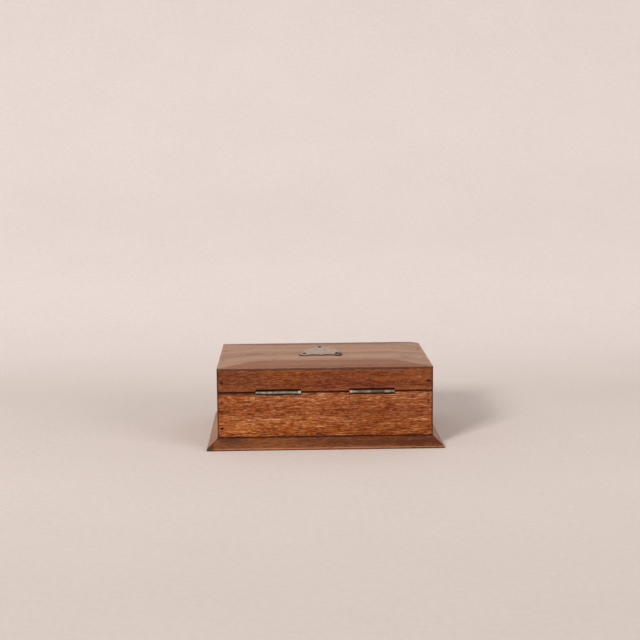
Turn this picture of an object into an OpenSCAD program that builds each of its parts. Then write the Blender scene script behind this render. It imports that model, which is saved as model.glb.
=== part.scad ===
// Desk letter box: a nailed wooden carcase on a mitred, bevelled plinth, with a hinged cushion-topped lid.
// The origin is at the middle of the foot, +Z is up, the front faces -Y and the hinges are on the +Y side.

/* [Carcase] */
// Outside length of the box, left to right
box_w = 240; // [200:1:300]
// Outside depth of the box, front to back
box_d = 168; // [130:1:220]
// Height of the four carcase boards
carcase_h = 50.5; // [40:0.5:80]
// Thickness of the carcase boards and lid rails
wall = 10; // [9.5:0.5:14]
// Depth of the rebate in the front and back boards that takes each side board
corner_rebate = 4; // [2:0.5:5]

/* [Plinth] */
// Height of the plinth
plinth_h = 12.5; // [10:0.5:18]
// How far the plinth stands out from the carcase all round
plinth_overhang = 11.8; // [6:0.2:18]
// Height of the upright lip under the plinth's bevel
plinth_lip = 2.2; // [1:0.2:4]
// How far the plinth reaches in past the carcase's inner face
plinth_ledge = 6; // [4:0.5:10]
// Thickness of the bottom board
bottom_t = 5; // [3:0.5:7]
// How far the bottom board runs in under the carcase boards
bottom_bearing = 4; // [2:0.5:6]
// Play between the edge of the bottom board and its rebate
bottom_play = 0.2; // [0.1:0.1:0.5]

/* [Lid] */
// Height of the four lid rails
lid_rail_h = 25; // [18:0.5:40]
// Open line between the carcase and the closed lid
shut_gap = 0.5; // [0.3:0.1:0.8]
// Thickness of the top board at its edge
top_edge = 2; // [1.5:0.1:4]
// Rise of the top board from its edge to its raised field
top_rise = 3.2; // [2.5:0.1:6]
// Width of the bevel along the front and back of the raised field
top_bevel = 32; // [20:1:36]
// Width of the bevel at each end of the raised field
end_bevel = 39; // [24:1:44]

/* [Hinges] */
// Length of each butt hinge
hinge_len = 50; // [40:1:60]
// Distance from the end of the box to the hinge
hinge_inset = 43; // [25:1:50]
// Outside diameter of the knuckles
barrel_d = 4.2; // [4:0.1:5]
// Diameter of the hinge pin
hinge_pin_d = 2; // [1.6:0.1:2.2]
// Thickness of a hinge leaf
leaf_t = 1.1; // [0.9:0.1:1.4]
// How far a leaf is let in from the back face
leaf_w = 8; // [7:0.5:9]
// How far the centre of the pin stands out from the back face
pin_out = 1; // [0.6:0.1:1.6]
// Number of knuckles, shared in turn by the two leaves
knuckles = 4; // [2:1:6]
// Gap between one knuckle and the next
knuckle_gap = 0.3; // [0.2:0.1:0.5]
// Gap round the barrel in its wooden recess
barrel_gap = 0.7; // [0.4:0.1:1.2]

/* [Fasteners] */
// Diameter of a leaf screw's shank
screw_d = 2.2; // [1.8:0.1:2.6]
// Diameter of a leaf screw's countersunk head
screw_head_d = 4; // [3.4:0.1:4.4]
// Length of a leaf screw
screw_len = 9; // [7:0.5:14]
// How far in from the middle of the leaf the screws stand
screw_shift = 0.4; // [0:0.1:0.8]
// Width of the slot in a screw's head
screw_slot = 0.6; // [0.4:0.1:0.8]
// Diameter of a nail's shank
nail_d = 1.5; // [1.2:0.1:2]
// Diameter of a nail's head
nail_head_d = 2.8; // [2.4:0.1:3.4]
// Thickness of a nail's head
nail_head_t = 0.8; // [0.5:0.1:1.2]
// Length of the nails in the carcase and lid corners
corner_nail_len = 22; // [16:1:30]
// Length of the nails that hold the plinth
plinth_nail_len = 26; // [20:1:34]
// Length of the nails that hold the top board
top_nail_len = 16; // [12:1:20]
// How far a nail's head is punched below the wood
nail_set = 0.2; // [0.1:0.1:0.4]
// Radial clearance of nails, screws and pins in their holes
hole_play = 0.03; // [0.02:0.01:0.06]

/* [Shield] */
// Width of the shield plate across its two ears
shield_w = 50; // [40:1:60]
// Length of the shield plate from its ears to its point
shield_l = 66; // [50:1:72]
// Thickness of the shield plate
shield_t = 1; // [0.8:0.1:1.6]
// Distance of the shield plate's middle line from the middle of the lid
shield_x = 3; // [-6:0.5:6]
// Distance of the shield plate's middle from the middle of the lid, towards the front
shield_y = 6; // [0:0.5:8]
// Diameter of a shield pin's domed head
dome_d = 4.6; // [3.6:0.1:5]
// Height of a shield pin's domed head
dome_h = 1.1; // [0.8:0.1:2]
// Diameter of a shield pin's shank
shield_pin_d = 1.6; // [1.2:0.1:2]
// How deep a shield pin goes into the top board
shield_pin_grip = 3.5; // [2:0.1:3.6]

/* [Hidden] */
$fn = 48;

// Heights, from the foot up
carcase_top = plinth_h + carcase_h;
axis_z = carcase_top + shut_gap / 2;
lid_bottom = carcase_top + shut_gap;
eave_under = lid_bottom + lid_rail_h;
eave_top = eave_under + top_edge;
field_top = eave_top + top_rise;

// Plan positions
half_w = box_w / 2;
half_d = box_d / 2;
axis_y = half_d + pin_out;
side_len = box_d - 2 * (wall - corner_rebate);
plinth_half_w = half_w + plinth_overhang;
plinth_half_d = half_d + plinth_overhang;
inner_reach = wall + plinth_ledge;
bottom_edge = wall - bottom_bearing;
hinge_left = [half_w - hinge_inset - hinge_len, axis_y, axis_z];
hinge_right = [-half_w + hinge_inset, axis_y, axis_z];

// Fastener positions
nail_x = half_w - wall / 2;
carcase_nail_z = [plinth_h + carcase_h * 0.2, plinth_h + carcase_h * 0.78];
lid_nail_z = [lid_bottom + lid_rail_h * 0.44];
plinth_nail_x = [-half_w * 0.7, 0, half_w * 0.7];
plinth_nail_y = [-half_d * 0.4, half_d * 0.4];
plinth_nail_in = bottom_edge / 2;
top_nail_y = [-half_d * 0.37, half_d * 0.37];
screw_x = [hinge_len * 0.14, hinge_len * 0.5, hinge_len * 0.86];
screw_y = half_d - leaf_w / 2 - screw_shift;
screw_floor = 1;

barrel_r = barrel_d / 2;
knuckle_len = hinge_len / knuckles;
cut = 1;

oak_brown = [0.60, 0.33, 0.18];
lid_brown = [0.50, 0.28, 0.17];
plinth_brown = [0.46, 0.27, 0.17];
inside_brown = [0.62, 0.44, 0.28];
hinge_grey = [0.55, 0.52, 0.47];
plate_grey = [0.70, 0.65, 0.60];
iron_dark = [0.22, 0.17, 0.13];

// A round nail that points along -Z with the top of its head at the origin
module nail(length, play = 0) {
    translate([0, 0, -nail_head_t - play]) cylinder(d = nail_head_d + 2 * play, h = nail_head_t + play);
    translate([0, 0, -length - play]) cylinder(d = nail_d + 2 * play, h = length + play);
}

// The hole for a nail, with the space above the head that the punch leaves
module nail_hole(length) {
    nail(length, hole_play);
    cylinder(d = nail_head_d + 2 * hole_play, h = nail_set + cut);
}

// Puts its children at both ends of the front and back faces, pointing inwards, at each height
module at_corners(heights) {
    for (side = [-1, 1], face = [-1, 1], z = heights)
        translate([side * nail_x, face * (half_d - nail_set), z]) rotate([face * -90, 0, 0]) children();
}

module carcase_nails() {
    color(iron_dark) at_corners(carcase_nail_z) nail(corner_nail_len);
}

module lid_nails() {
    color(iron_dark) at_corners(lid_nail_z) nail(corner_nail_len);
}

// Puts its children under the plinth, pointing up through it into the carcase boards
module at_plinth_nails() {
    for (x = plinth_nail_x, face = [-1, 1])
        translate([x, face * (half_d - plinth_nail_in), nail_set]) rotate([180, 0, 0]) children();
    for (y = plinth_nail_y, side = [-1, 1])
        translate([side * (half_w - plinth_nail_in), y, nail_set]) rotate([180, 0, 0]) children();
}

module plinth_nails() {
    color(iron_dark) at_plinth_nails() nail(plinth_nail_len);
}

// Height of the top board's end bevel at a distance in from its edge
function bevel_z(inset) = eave_top + top_rise * inset / end_bevel;

// Puts its children on the bevel over the two side rails, pointing down
module at_top_nails() {
    for (side = [-1, 1], y = top_nail_y)
        translate([side * nail_x, y, bevel_z(wall / 2 - nail_head_d / 2) - nail_set]) children();
}

module top_board_nails() {
    color(iron_dark) at_top_nails() nail(top_nail_len);
}

// Section of the plinth: x runs outwards from the carcase's outer face, y is the height
module plinth_section() {
    polygon([
        [-inner_reach, 0], [plinth_overhang, 0], [plinth_overhang, plinth_lip], [0, plinth_h],
        [-bottom_edge, plinth_h], [-bottom_edge, plinth_h - bottom_t], [-inner_reach, plinth_h - bottom_t]
    ]);
}

// One length of plinth on the +X side of a box that is 2*out by 2*along, mitred at both ends
module plinth_length(out, along) {
    mitre_out = plinth_overhang + cut;
    mitre_in = inner_reach + cut;
    intersection() {
        translate([out, along + mitre_out, 0]) rotate([90, 0, 0])
            linear_extrude(2 * (along + mitre_out)) plinth_section();
        linear_extrude(plinth_h) polygon([
            [out + mitre_out, along + mitre_out], [out + mitre_out, -along - mitre_out],
            [out - mitre_in, -along + mitre_in], [out - mitre_in, along - mitre_in]
        ]);
    }
}

module plinth_piece(turn) {
    long_side = turn == 90 || turn == 270;
    color(plinth_brown) difference() {
        rotate(turn) plinth_length(long_side ? half_d : half_w, long_side ? half_w : half_d);
        at_plinth_nails() nail_hole(plinth_nail_len);
    }
}

module plinth_front() { plinth_piece(270); }
module plinth_back() { plinth_piece(90); }
module plinth_left() { plinth_piece(0); }
module plinth_right() { plinth_piece(180); }

module bottom_board() {
    reach = bottom_edge + bottom_play;
    color(inside_brown) translate([-half_w + reach, -half_d + reach, plinth_h - bottom_t])
        cube([box_w - 2 * reach, box_d - 2 * reach, bottom_t]);
}

// A board across the front or back, rebated at both ends for the side boards. It lies on the +Y side.
module long_board(height) {
    difference() {
        translate([-half_w, half_d - wall, 0]) cube([box_w, wall, height]);
        for (side = [-1, 1])
            translate([side * half_w - wall * (side + 1) / 2 - (1 - side) / 2 * cut, half_d - wall - cut, -cut])
                cube([wall + cut, corner_rebate + cut, height + 2 * cut]);
    }
}

// A side board that fills the rebates of the long boards. It lies on the +X side.
module side_board(height) {
    translate([half_w - wall, -side_len / 2, 0]) cube([wall, side_len, height]);
}

// The space let into the wood for one hinge, from the meeting faces to beyond the leaf
module hinge_mortise(origin, up) {
    leaf_face = shut_gap / 2;
    translate([origin[0] - hole_play, half_d - leaf_w - hole_play, axis_z])
        scale_z(up) cube([hinge_len + 2 * hole_play, leaf_w + cut, leaf_face + leaf_t]);
    recess = barrel_r + barrel_gap;
    translate([origin[0] - hole_play, axis_y - recess, axis_z])
        scale_z(up) cube([hinge_len + 2 * hole_play, recess + cut, recess]);
}

// Turns its children upside down when up is -1
module scale_z(up) {
    if (up > 0) children();
    else mirror([0, 0, 1]) children();
}

// One countersunk slotted screw that points along -Z with the top of its head at the origin
module screw() {
    head_h = (screw_head_d - screw_d) / 2;
    difference() {
        union() {
            translate([0, 0, -head_h]) cylinder(d1 = screw_d, d2 = screw_head_d, h = head_h);
            translate([0, 0, -screw_len]) cylinder(d = screw_d, h = screw_len);
        }
        translate([-screw_head_d / 2, -screw_slot / 2, -head_h / 2]) cube([screw_head_d, screw_slot, head_h]);
    }
}

// The countersunk hole for a screw
module screw_hole() {
    d1 = screw_d + 2 * hole_play;
    d2 = screw_head_d + 2 * hole_play;
    head_h = (d2 - d1) / 2;
    translate([0, 0, -head_h]) cylinder(d1 = d1, d2 = d2, h = head_h);
    translate([0, 0, -screw_len - screw_floor]) cylinder(d = d1, h = screw_len + screw_floor);
    cylinder(d = d2, h = cut / 4);
}

// Puts its children at the three screw places of each hinge, pointing into the wood from the leaf's face
module at_screws(up) {
    for (hinge = [hinge_left, hinge_right], x = screw_x)
        translate([hinge[0] + x, screw_y, axis_z]) scale_z(-up) translate([0, 0, -shut_gap / 2]) children();
}

// One hinge leaf with its own knuckles. up is -1 for the leaf on the box and 1 for the one on the lid.
module hinge_leaf(origin, up, first) {
    plate_y = half_d - leaf_w;
    plate_end = axis_y - barrel_r - barrel_gap / 2;
    color(hinge_grey) difference() {
        union() {
            translate([origin[0], plate_y, axis_z]) scale_z(up)
                translate([0, 0, shut_gap / 2]) cube([hinge_len, plate_end - plate_y, leaf_t]);
            for (k = [first : 2 : knuckles - 1]) {
                start = origin[0] + k * knuckle_len + (k == 0 ? 0 : knuckle_gap / 2);
                end = origin[0] + (k + 1) * knuckle_len - (k == knuckles - 1 ? 0 : knuckle_gap / 2);
                translate([start, axis_y, axis_z]) rotate([0, 90, 0]) cylinder(r = barrel_r, h = end - start);
                translate([start, plate_y, axis_z]) scale_z(up)
                    translate([0, 0, shut_gap / 2]) cube([end - start, axis_y - plate_y, leaf_t]);
            }
        }
        translate([origin[0] - cut, axis_y, axis_z]) rotate([0, 90, 0])
            cylinder(d = hinge_pin_d + 2 * hole_play, h = hinge_len + 2 * cut);
        at_screws(up) screw_hole();
    }
}

module hinge_pin(origin) {
    color(hinge_grey) translate(origin) rotate([0, 90, 0]) cylinder(d = hinge_pin_d, h = hinge_len);
}

module left_hinge_box_leaf() { hinge_leaf(hinge_left, -1, 0); }
module right_hinge_box_leaf() { hinge_leaf(hinge_right, -1, 0); }
module left_hinge_lid_leaf() { hinge_leaf(hinge_left, 1, 1); }
module right_hinge_lid_leaf() { hinge_leaf(hinge_right, 1, 1); }
module left_hinge_pin() { hinge_pin(hinge_left); }
module right_hinge_pin() { hinge_pin(hinge_right); }
module box_leaf_screws() { color(hinge_grey) at_screws(-1) screw(); }
module lid_leaf_screws() { color(hinge_grey) at_screws(1) screw(); }

// Cuts every hole that the carcase boards share
module bored_for_carcase() {
    difference() {
        children();
        at_corners(carcase_nail_z) nail_hole(corner_nail_len);
        at_plinth_nails() nail_hole(plinth_nail_len);
    }
}

module front_board() {
    color(oak_brown) bored_for_carcase() translate([0, 0, plinth_h]) rotate(180) long_board(carcase_h);
}

module back_board() {
    color(oak_brown) difference() {
        bored_for_carcase() translate([0, 0, plinth_h]) long_board(carcase_h);
        for (hinge = [hinge_left, hinge_right]) hinge_mortise(hinge, -1);
        at_screws(-1) screw_hole();
    }
}

module left_side_board() {
    color(oak_brown) bored_for_carcase() translate([0, 0, plinth_h]) side_board(carcase_h);
}

module right_side_board() {
    color(oak_brown) bored_for_carcase() translate([0, 0, plinth_h]) rotate(180) side_board(carcase_h);
}

// Cuts every hole that the lid rails share
module bored_for_lid() {
    difference() {
        children();
        at_corners(lid_nail_z) nail_hole(corner_nail_len);
        at_top_nails() nail_hole(top_nail_len);
    }
}

module lid_front_rail() {
    color(lid_brown) bored_for_lid() translate([0, 0, lid_bottom]) rotate(180) long_board(lid_rail_h);
}

module lid_back_rail() {
    color(lid_brown) difference() {
        bored_for_lid() translate([0, 0, lid_bottom]) long_board(lid_rail_h);
        for (hinge = [hinge_left, hinge_right]) hinge_mortise(hinge, 1);
        at_screws(1) screw_hole();
    }
}

module lid_left_rail() {
    color(lid_brown) bored_for_lid() translate([0, 0, lid_bottom]) side_board(lid_rail_h);
}

module lid_right_rail() {
    color(lid_brown) bored_for_lid() translate([0, 0, lid_bottom]) rotate(180) side_board(lid_rail_h);
}

// Section of the top board across a given half width, standing on its underside
module top_section(half, bevel) {
    polygon([
        [-half, 0], [half, 0], [half, top_edge], [half - bevel, top_edge + top_rise],
        [-half + bevel, top_edge + top_rise], [-half, top_edge]
    ]);
}

// The top board: a raised field with a mitred bevel on all four sides
module lid_top_board() {
    color(lid_brown) difference() {
        translate([0, 0, eave_under]) intersection() {
            translate([0, half_d, 0]) rotate([90, 0, 0]) linear_extrude(box_d) top_section(half_w, end_bevel);
            translate([-half_w, 0, 0]) rotate([90, 0, 90]) linear_extrude(box_w) top_section(half_d, top_bevel);
        }
        at_top_nails() nail_hole(top_nail_len);
        at_shield_pins() shield_pin(hole_play);
    }
}

// Corners of the right half of the shield, as shares of its half width and of its length from the ears down.
// Each run of three is the start, the pull and the end of one curve.
shield_curves = [
    [[0.00, 0.01], [0.06, 0.09], [0.28, 0.09]],
    [[0.28, 0.09], [0.54, 0.09], [0.68, 0.02]],
    [[0.68, 0.02], [0.86, -0.03], [1.00, 0.17]],
    [[1.00, 0.17], [0.82, 0.22], [0.80, 0.38]],
    [[0.80, 0.38], [0.80, 0.66], [0.44, 0.79]],
    [[0.44, 0.79], [0.14, 0.85], [0.00, 1.00]]
];
shield_steps = 6;
pin_places = [[0, 0.83], [-0.76, 0.17], [0.76, 0.17]];

// A point on a curve that starts at c[0], is pulled towards c[1] and ends at c[2]
function on_curve(c, t) = (1 - t) * (1 - t) * c[0] + 2 * t * (1 - t) * c[1] + t * t * c[2];

function shield_half() = [
    for (c = shield_curves, i = [0 : shield_steps - 1]) on_curve(c, i / shield_steps)
];

// Turns a share of the shield's half width and length into millimetres on the lid
function on_lid(p) = [shield_x + p[0] * shield_w / 2, shield_l / 2 - shield_y - p[1] * shield_l];

function shield_outline() = let (half = shield_half(), n = len(half)) concat(
    [for (p = half) on_lid(p)], [on_lid([0, 1])],
    [for (i = [n - 1 : -1 : 1]) on_lid([-half[i][0], half[i][1]])]
);

// Puts its children on the top of the shield plate at its three pins
module at_shield_pins() {
    for (p = pin_places) translate([on_lid(p)[0], on_lid(p)[1], field_top + shield_t]) children();
}

module shield_pin(play = 0) {
    translate([0, 0, -shield_t - shield_pin_grip - play])
        cylinder(d = shield_pin_d + 2 * play, h = shield_t + shield_pin_grip + play);
}

module shield_plate() {
    color(plate_grey) difference() {
        translate([0, 0, field_top]) linear_extrude(shield_t) polygon(shield_outline());
        at_shield_pins() shield_pin(hole_play);
    }
}

// Three pins with domed heads, each dome a cap of a ball
module shield_pins() {
    ball_r = (dome_d * dome_d / 4 + dome_h * dome_h) / (2 * dome_h);
    color(iron_dark) at_shield_pins() {
        intersection() {
            translate([0, 0, dome_h - ball_r]) sphere(r = ball_r);
            cylinder(d = dome_d + 2 * cut, h = dome_h + cut);
        }
        shield_pin();
    }
}

plinth_front();
plinth_back();
plinth_left();
plinth_right();
bottom_board();
front_board();
back_board();
left_side_board();
right_side_board();
carcase_nails();
plinth_nails();
left_hinge_box_leaf();
right_hinge_box_leaf();
left_hinge_pin();
right_hinge_pin();
box_leaf_screws();
lid_front_rail();
lid_back_rail();
lid_left_rail();
lid_right_rail();
lid_top_board();
lid_nails();
top_board_nails();
left_hinge_lid_leaf();
right_hinge_lid_leaf();
lid_leaf_screws();
shield_plate();
shield_pins();
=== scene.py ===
"""Looks of a wooden desk letter box: worn boards, a cushion lid, two butt hinges and a pinned shield plate.

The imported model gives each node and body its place. Round that frame this script builds the boards with eased
arrises, the plinth, the lid and the shield, gives every surface a grained or tarnished finish, and lights the
box on a pale sweep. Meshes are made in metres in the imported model's own frame, and a length written with MM
is in metres. Marks, nails, hinges and the shield are set out in millimetres, as a maker marks them on wood.
"""

import sys
import logging
import math
from dataclasses import dataclass
from enum import Enum
from typing import Callable, Sequence

import bmesh
import bpy
from mathutils import Matrix, Vector


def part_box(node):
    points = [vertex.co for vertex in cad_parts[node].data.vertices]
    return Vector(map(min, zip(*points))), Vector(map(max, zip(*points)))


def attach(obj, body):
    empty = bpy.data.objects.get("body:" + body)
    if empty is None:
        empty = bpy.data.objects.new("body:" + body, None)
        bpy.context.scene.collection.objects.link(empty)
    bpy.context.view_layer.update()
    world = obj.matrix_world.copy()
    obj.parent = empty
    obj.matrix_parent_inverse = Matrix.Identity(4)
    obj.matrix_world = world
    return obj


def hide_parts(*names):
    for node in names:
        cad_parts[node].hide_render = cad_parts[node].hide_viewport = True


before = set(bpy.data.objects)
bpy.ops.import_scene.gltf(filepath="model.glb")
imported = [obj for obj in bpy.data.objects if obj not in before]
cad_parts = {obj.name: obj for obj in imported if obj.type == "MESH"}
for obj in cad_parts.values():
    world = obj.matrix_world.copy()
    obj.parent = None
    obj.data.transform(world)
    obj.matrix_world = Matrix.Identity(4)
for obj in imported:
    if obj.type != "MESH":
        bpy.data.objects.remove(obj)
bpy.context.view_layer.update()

MM = 0.001
ALL = 1000.0
Colour = tuple[float, float, float, float]
Point = tuple[float, float, float]
Socket = bpy.types.NodeSocket
Feed = Socket | float | tuple
Feeds = dict[int | str, Feed]
Sockets = dict[str, Socket]

log = logging.getLogger("letter_box")


def tone(red: int, green: int, blue: int) -> Colour:
    """Turns a display colour into the linear one that shaders use.

    Args:
        red: Red from 0 to 255.
        green: Green from 0 to 255.
        blue: Blue from 0 to 255.

    Returns:
        The linear colour with full alpha.
    """
    linear = [c / 255 / 12.92 if c < 11 else ((c / 255 + 0.055) / 1.055) ** 2.4 for c in (red, green, blue)]
    return (linear[0], linear[1], linear[2], 1.0)


class Grain(Enum):
    """Which way a board's grain runs, as the turn about Z that brings it onto X."""

    ALONG_LENGTH = 0.0
    ALONG_DEPTH = math.pi / 2


class Slot(Enum):
    """The record's material slots."""

    CARCASE = "carcase_wood"
    LID = "lid_wood"
    PLINTH = "plinth_wood"
    INSIDE = "inside_wood"
    HINGE = "hinge_metal"
    SHIELD = "shield_metal"
    IRON = "dark_iron"


# Shader nodes


class Bench:
    """Places shader nodes in one tree and joins them."""

    def __init__(self, tree: bpy.types.NodeTree) -> None:
        """Keeps the tree that the nodes go into."""
        self.tree = tree

    def add(self, kind: str, feeds: Feeds | None = None, **settings: object) -> bpy.types.Node:
        """Adds one node.

        Args:
            kind: The node's Blender type.
            feeds: What goes into its inputs, by name or index: a socket to link, or a constant to write.
            **settings: Properties to set on it.

        Returns:
            The new node.
        """
        node = self.tree.nodes.new(kind)
        for name, value in settings.items():
            setattr(node, name, value)
        for key, value in (feeds or {}).items():
            if isinstance(value, Socket):
                self.tree.links.new(value, node.inputs[key])
            else:
                node.inputs[key].default_value = value
        return node

    def math(self, operation: str, *values: Feed, clamp: bool = False) -> Socket:
        """Adds a Math node and returns its value."""
        node = self.add("ShaderNodeMath", dict(enumerate(values)), operation=operation, use_clamp=clamp)
        return node.outputs[0]

    def vector(self, operation: str, *values: Feed) -> bpy.types.Node:
        """Adds a Vector Math node and returns the node, whose output depends on the operation."""
        return self.add("ShaderNodeVectorMath", dict(enumerate(values)), operation=operation)

    def parts(self, vector: Socket) -> Sequence[Socket]:
        """Splits a vector into its X, Y and Z."""
        return self.add("ShaderNodeSeparateXYZ", {0: vector}).outputs

    def mix(self, share: Feed, a: Feed, b: Feed, blend: str = "MIX") -> Socket:
        """Mixes two colours and returns the result."""
        feeds = {0: share, 6: a, 7: b}
        node = self.add("ShaderNodeMix", feeds, data_type="RGBA", blend_type=blend, clamp_factor=True)
        return node.outputs[2]

    def ramp(self, value: Feed, low: Feed, high: Feed, start: Feed = 0.0, end: Feed = 1.0) -> Socket:
        """Adds a smooth step from start to end as the value goes from low to high, and returns its value."""
        feeds = dict(enumerate((value, low, high, start, end)))
        return self.add("ShaderNodeMapRange", feeds, interpolation_type="SMOOTHSTEP", clamp=True).outputs[0]


@dataclass(frozen=True)
class Layer:
    """A layer of noise: cells per metre along each axis, its finer layers, their roughness, its weight."""

    cells: Point
    detail: float = 2.0
    roughness: float = 0.5
    weight: float = 1.0

    def noise(self, bench: Bench, place: Feed) -> Socket:
        """Adds the noise.

        Args:
            bench: The bench that it goes on.
            place: Where it is read, in metres.

        Returns:
            Its value, about 0.2 to 0.8.
        """
        stretched = bench.vector("MULTIPLY", place, self.cells).outputs[0]
        feeds = {"Vector": stretched, "Scale": 1.0, "Detail": self.detail, "Roughness": self.roughness}
        return bench.add("ShaderNodeTexNoise", feeds, noise_dimensions="3D").outputs[0]

    def swing(self, bench: Bench, noise: Socket) -> Socket:
        """Brings the layer's noise round zero and weighs it."""
        return bench.math("MULTIPLY", bench.math("SUBTRACT", noise, 0.5), self.weight)


class ShaderGroup:
    """An effect that several finishes share, built once as a node group with named sockets."""

    title = ""
    takes: dict[str, str] = {}
    gives: dict[str, str] = {}

    def compose(self, bench: Bench, given: Sockets) -> Sockets:
        """Builds the inside of the group. Each kind of group has its own.

        Args:
            bench: The bench of the group's tree.
            given: The group's inputs by name.

        Returns:
            What the group gives, by name.
        """
        raise NotImplementedError

    def tree(self) -> bpy.types.NodeTree:
        """Makes the group's tree on first use.

        Returns:
            The tree.
        """
        made = bpy.data.node_groups.get(self.title)
        if made:
            return made
        made = bpy.data.node_groups.new(self.title, "ShaderNodeTree")
        for sockets, way in ((self.takes, "INPUT"), (self.gives, "OUTPUT")):
            for name, kind in sockets.items():
                made.interface.new_socket(name, in_out=way, socket_type=kind)
        bench = Bench(made)
        start = bench.add("NodeGroupInput")
        bench.add("NodeGroupOutput", self.compose(bench, {name: start.outputs[name] for name in self.takes}))
        return made

    def place(self, bench: Bench, **values: Feed) -> Sequence[Socket]:
        """Places the group in a material with its own values, and returns its outputs."""
        return bench.add("ShaderNodeGroup", values, node_tree=self.tree()).outputs


FLOAT, VECTOR, COLOUR = "NodeSocketFloat", "NodeSocketVector", "NodeSocketColor"
ORIGIN = (0.0, 0.0, 0.0)


class WoodGrain(ShaderGroup):
    """Open-grained hardwood: bands, ripple, fibres and dark pores that run along X."""

    title = "wood grain"
    takes = {"Place": VECTOR, "Pale": COLOUR, "Middle": COLOUR, "Dark": COLOUR, "Ripple": FLOAT,
             "Pores": FLOAT, "Bands": FLOAT, "Coarseness": FLOAT}
    gives = {"Colour": COLOUR, "Sheen": FLOAT, "Height": FLOAT}
    sway = Layer((9.0, 22.0, 22.0), 1.0, weight=0.007)
    waver = Layer((45.0, 90.0, 90.0), 1.0, weight=0.0014)
    bands = Layer((2.4, 50.0, 64.0), 1.0, 0.6, 1.5)
    patches = Layer((11.0, 20.0, 26.0), weight=0.25)
    ripple = Layer((50.0, 740.0, 740.0), 2.0, 0.7, 2.5)
    fibres = Layer((230.0, 1100.0, 1100.0), 1.0, 0.6, 1.9)
    flecks = Layer((130.0, 980.0, 980.0), 1.0, weight=0.4)
    pores = Layer((105.0, 1150.0, 1150.0), 0.0)
    fleck_edge = (0.54, 0.72)
    pore_edge = (0.58, 0.68)
    dark_to_middle = (0.0, 0.55)
    middle_to_pale = (0.6, 1.55)
    pore_sheen = 0.5
    ripple_height = 0.5
    fibre_height = 0.3

    def compose(self, bench: Bench, given: Sockets) -> Sockets:
        """Layers the grain from broad bands to single pores.

        Args:
            bench: The bench of the group's tree.
            given: The group's inputs by name.

        Returns:
            What the group gives, by name.
        """
        place = given["Place"]
        strength = given["Ripple"]
        sway, waver = (layer.swing(bench, layer.noise(bench, place)) for layer in (self.sway, self.waver))
        lift = bench.math("ADD", sway, waver)
        shift = bench.add("ShaderNodeCombineXYZ", {1: lift, 2: lift}).outputs[0]
        run = bench.vector("ADD", place, shift).outputs[0]
        scaled = bench.add("ShaderNodeVectorMath", {0: run, "Scale": given["Coarseness"]}, operation="SCALE")
        bands = self.bands.noise(bench, run)
        patches = self.patches.noise(bench, run)
        ripple, fibres, flecks, pores = (layer.noise(bench, scaled.outputs[0])
                                         for layer in (self.ripple, self.fibres, self.flecks, self.pores))
        value = bench.math("MULTIPLY_ADD", self.ripple.swing(bench, ripple), strength, 0.5)
        value = bench.math("MULTIPLY_ADD", self.fibres.swing(bench, fibres), strength, value)
        value = bench.math("MULTIPLY_ADD", self.bands.swing(bench, bands), given["Bands"], value)
        value = bench.math("ADD", self.patches.swing(bench, patches), value)
        fleck_share = bench.math("MULTIPLY", strength, self.flecks.weight)
        value = bench.math("MULTIPLY_ADD", bench.ramp(flecks, *self.fleck_edge), fleck_share, value)
        low = bench.mix(bench.ramp(value, *self.dark_to_middle), given["Dark"], given["Middle"])
        colour = bench.mix(bench.ramp(value, *self.middle_to_pale), low, given["Pale"])
        open_pores = bench.math("MULTIPLY", bench.ramp(pores, *self.pore_edge), given["Pores"], clamp=True)
        height = bench.math("MULTIPLY_ADD", ripple, self.ripple_height,
                            bench.math("MULTIPLY", fibres, self.fibre_height))
        return {
            "Colour": bench.mix(open_pores, colour, given["Dark"]),
            "Sheen": bench.math("MULTIPLY_ADD", open_pores, self.pore_sheen,
                                bench.math("SUBTRACT", patches, 0.5)),
            "Height": bench.math("SUBTRACT", height, open_pores),
        }


class ArrisWear(ShaderGroup):
    """A mask of the arrises of a squared board, broken up as handling wears them."""

    title = "arris wear"
    takes = {"Place": VECTOR, "Low": VECTOR, "High": VECTOR, "Width": FLOAT}
    gives = {"Mask": FLOAT}
    chips = Layer((120.0, 120.0, 120.0), 3.0, 0.65)
    chip_edge = (0.3, 0.75)
    width_shares = (0.25, 1.6)

    def compose(self, bench: Bench, given: Sockets) -> Sockets:
        """Takes the middle one of the three distances to the board's faces: the way to the next arris.

        Args:
            bench: The bench of the group's tree.
            given: The group's inputs by name.

        Returns:
            What the group gives, by name.
        """
        from_low = bench.vector("SUBTRACT", given["Place"], given["Low"]).outputs[0]
        to_high = bench.vector("SUBTRACT", given["High"], given["Place"]).outputs[0]
        x, y, z = bench.parts(bench.vector("MINIMUM", from_low, to_high).outputs[0])
        lesser = bench.math("MINIMUM", x, y)
        way = bench.math("MAXIMUM", lesser, bench.math("MINIMUM", bench.math("MAXIMUM", x, y), z))
        share = bench.ramp(self.chips.noise(bench, given["Place"]), *self.chip_edge, *self.width_shares)
        return {"Mask": bench.ramp(way, 0.0, bench.math("MULTIPLY", share, given["Width"]), 1.0, 0.0)}


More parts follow.
